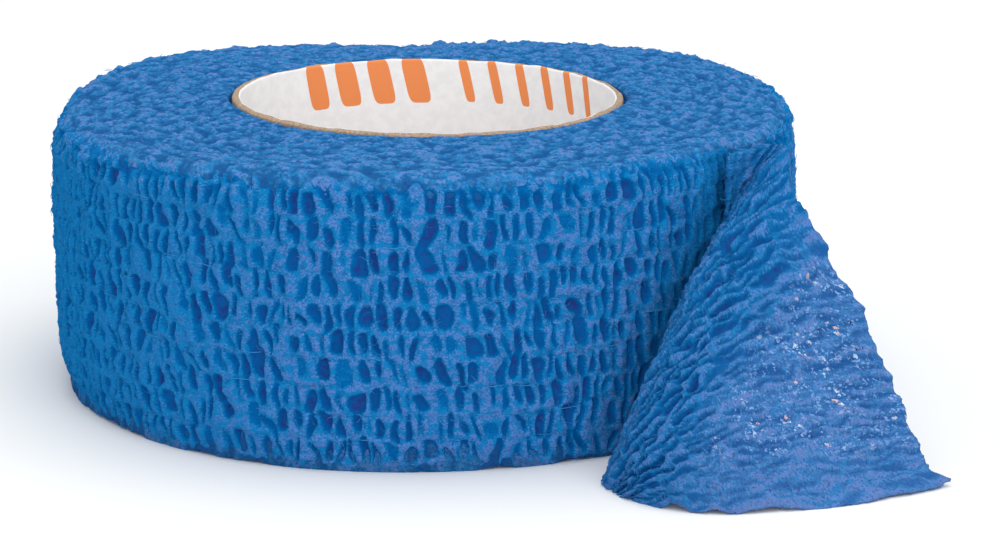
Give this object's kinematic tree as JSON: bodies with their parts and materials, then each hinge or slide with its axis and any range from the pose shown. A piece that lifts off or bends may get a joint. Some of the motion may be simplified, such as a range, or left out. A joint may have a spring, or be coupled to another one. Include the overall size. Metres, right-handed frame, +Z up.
{
  "type": "cohesive bandage roll",
  "caption": "Roll of crinkled self-adherent elastic bandage on a paperboard core, standing on its flat side, its loose end pulled off and fallen over onto the table.",
  "frame": {"origin": "middle of the footprint's box, on the surface that the roll stands on", "axes": "+Z up along the roll's axis; -Y towards the side from which the loose end is seen best; +X the side that it falls towards"},
  "size_m": [0.0766, 0.076, 0.0253],
  "materials": {
    "bandage": "matt crinkled nonwoven, royal blue, open pores where it is stretched",
    "paperboard": "matt white paper lining on kraft-brown paperboard"
  },
  "bodies": {
    "root": {"core": "paperboard", "wound_roll": "bandage", "loose_end": "bandage"}
  },
  "joints": []
}
